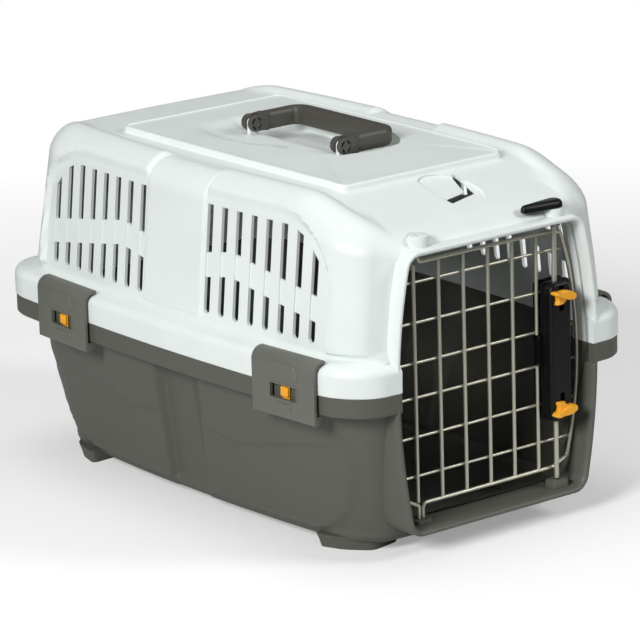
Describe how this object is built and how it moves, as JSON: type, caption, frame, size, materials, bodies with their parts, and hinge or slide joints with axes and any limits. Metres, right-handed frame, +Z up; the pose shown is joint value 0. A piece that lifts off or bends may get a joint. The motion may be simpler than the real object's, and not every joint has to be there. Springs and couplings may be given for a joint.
{
  "type": "pet carrier",
  "caption": "Two-shell plastic pet carrier with vent slots, a swinging wire door with a two-bolt lock, a folding top handle and side clips.",
  "frame": {"origin": "on the floor, below the middle of the carrier", "axes": "+Z up, the door faces -Y, +Y is the length towards the rear, +X is the width"},
  "size_m": [0.367, 0.5522, 0.342],
  "materials": {
    "tub_plastic": "fine moulded grain, satin",
    "cover_plastic": "fine speckle, satin",
    "handle_plastic": "matte",
    "clip_plastic": "satin",
    "black_plastic": "satin",
    "yellow_plastic": "satin",
    "door_wire": "thin bright plating",
    "steel": "bright"
  },
  "bodies": {
    "carrier": {"lower_shell": "tub_plastic", "upper_shell": "cover_plastic"},
    "door": {"door_frame_wire": "door_wire", "door_hinge_wire": "door_wire", "door_upright_wires": "door_wire", "door_cross_wires": "door_wire", "lock_cover": "black_plastic", "lock_back_plate": "black_plastic", "lock_screws": "steel", "upper_bolt_spring": "steel", "lower_bolt_spring": "steel"},
    "upper_bolt": {"upper_bolt": "steel", "upper_thumb_tab": "yellow_plastic"},
    "lower_bolt": {"lower_bolt": "steel", "lower_thumb_tab": "yellow_plastic"},
    "safety_lever": {"safety_lever": "black_plastic"},
    "handle": {"carry_handle": "handle_plastic", "handle_pivot_pins": "steel"},
    "clip_front_left": {"clip_front_left": "clip_plastic"},
    "clip_front_right": {"clip_front_right": "clip_plastic"},
    "clip_rear_left": {"clip_rear_left": "clip_plastic"},
    "clip_rear_right": {"clip_rear_right": "clip_plastic"},
    "slider_front_left": {"slider_front_left": "yellow_plastic"},
    "slider_front_right": {"slider_front_right": "yellow_plastic"},
    "slider_rear_left": {"slider_rear_left": "yellow_plastic"},
    "slider_rear_right": {"slider_rear_right": "yellow_plastic"}
  },
  "joints": [
    {"name": "door_swing", "type": "hinge", "parent": "carrier", "child": "door", "pos_m": [-0.0777, -0.252, 0.156], "axis": [0, 0, -1], "range_deg": [0, 100]},
    {"name": "upper_bolt_slide", "type": "slide", "parent": "door", "child": "upper_bolt", "axis": [0, 0, 1], "range_m": [-0.008, 0.006], "stiffness_N_per_m": 120, "deforming": ["upper_bolt_spring"]},
    {"name": "lower_bolt_slide", "type": "slide", "parent": "door", "child": "lower_bolt", "axis": [0, 0, 1], "range_m": [-0.006, 0.008], "stiffness_N_per_m": 120, "deforming": ["lower_bolt_spring"]},
    {"name": "safety_lever_turn", "type": "hinge", "parent": "carrier", "child": "safety_lever", "pos_m": [0.079, -0.2582, 0.292], "axis": [0, 0, 1], "range_deg": [0, 90]},
    {"name": "handle_fold", "type": "hinge", "parent": "carrier", "child": "handle", "pos_m": [-0.014, -0.006, 0.333], "axis": [0, -1, 0], "range_deg": [0, 100]},
    {"name": "clip_front_left_hinge", "type": "hinge", "parent": "carrier", "child": "clip_front_left", "pos_m": [-0.17136, -0.18684, 0.1366], "axis": [0.0666, -0.9978, 0], "range_deg": [0, 100]},
    {"name": "slider_front_left_slide", "type": "slide", "parent": "clip_front_left", "child": "slider_front_left", "axis": [0.0666, -0.9978, 0], "range_m": [0, 0.009]},
    {"name": "clip_front_right_hinge", "type": "hinge", "parent": "carrier", "child": "clip_front_right", "pos_m": [0.17136, -0.18684, 0.1366], "axis": [0.0666, 0.9978, 0], "range_deg": [0, 100]},
    {"name": "slider_front_right_slide", "type": "slide", "parent": "clip_front_right", "child": "slider_front_right", "axis": [0.0666, 0.9978, 0], "range_m": [0, 0.009]},
    {"name": "clip_rear_left_hinge", "type": "hinge", "parent": "carrier", "child": "clip_rear_left", "pos_m": [-0.17375, 0.14687, 0.1366], "axis": [-0.0524, -0.9986, 0], "range_deg": [0, 100]},
    {"name": "slider_rear_left_slide", "type": "slide", "parent": "clip_rear_left", "child": "slider_rear_left", "axis": [-0.0524, -0.9986, 0], "range_m": [0, 0.009]},
    {"name": "clip_rear_right_hinge", "type": "hinge", "parent": "carrier", "child": "clip_rear_right", "pos_m": [0.17375, 0.14687, 0.1366], "axis": [-0.0524, 0.9986, 0], "range_deg": [0, 100]},
    {"name": "slider_rear_right_slide", "type": "slide", "parent": "clip_rear_right", "child": "slider_rear_right", "axis": [-0.0524, 0.9986, 0], "range_m": [0, 0.009]}
  ]
}
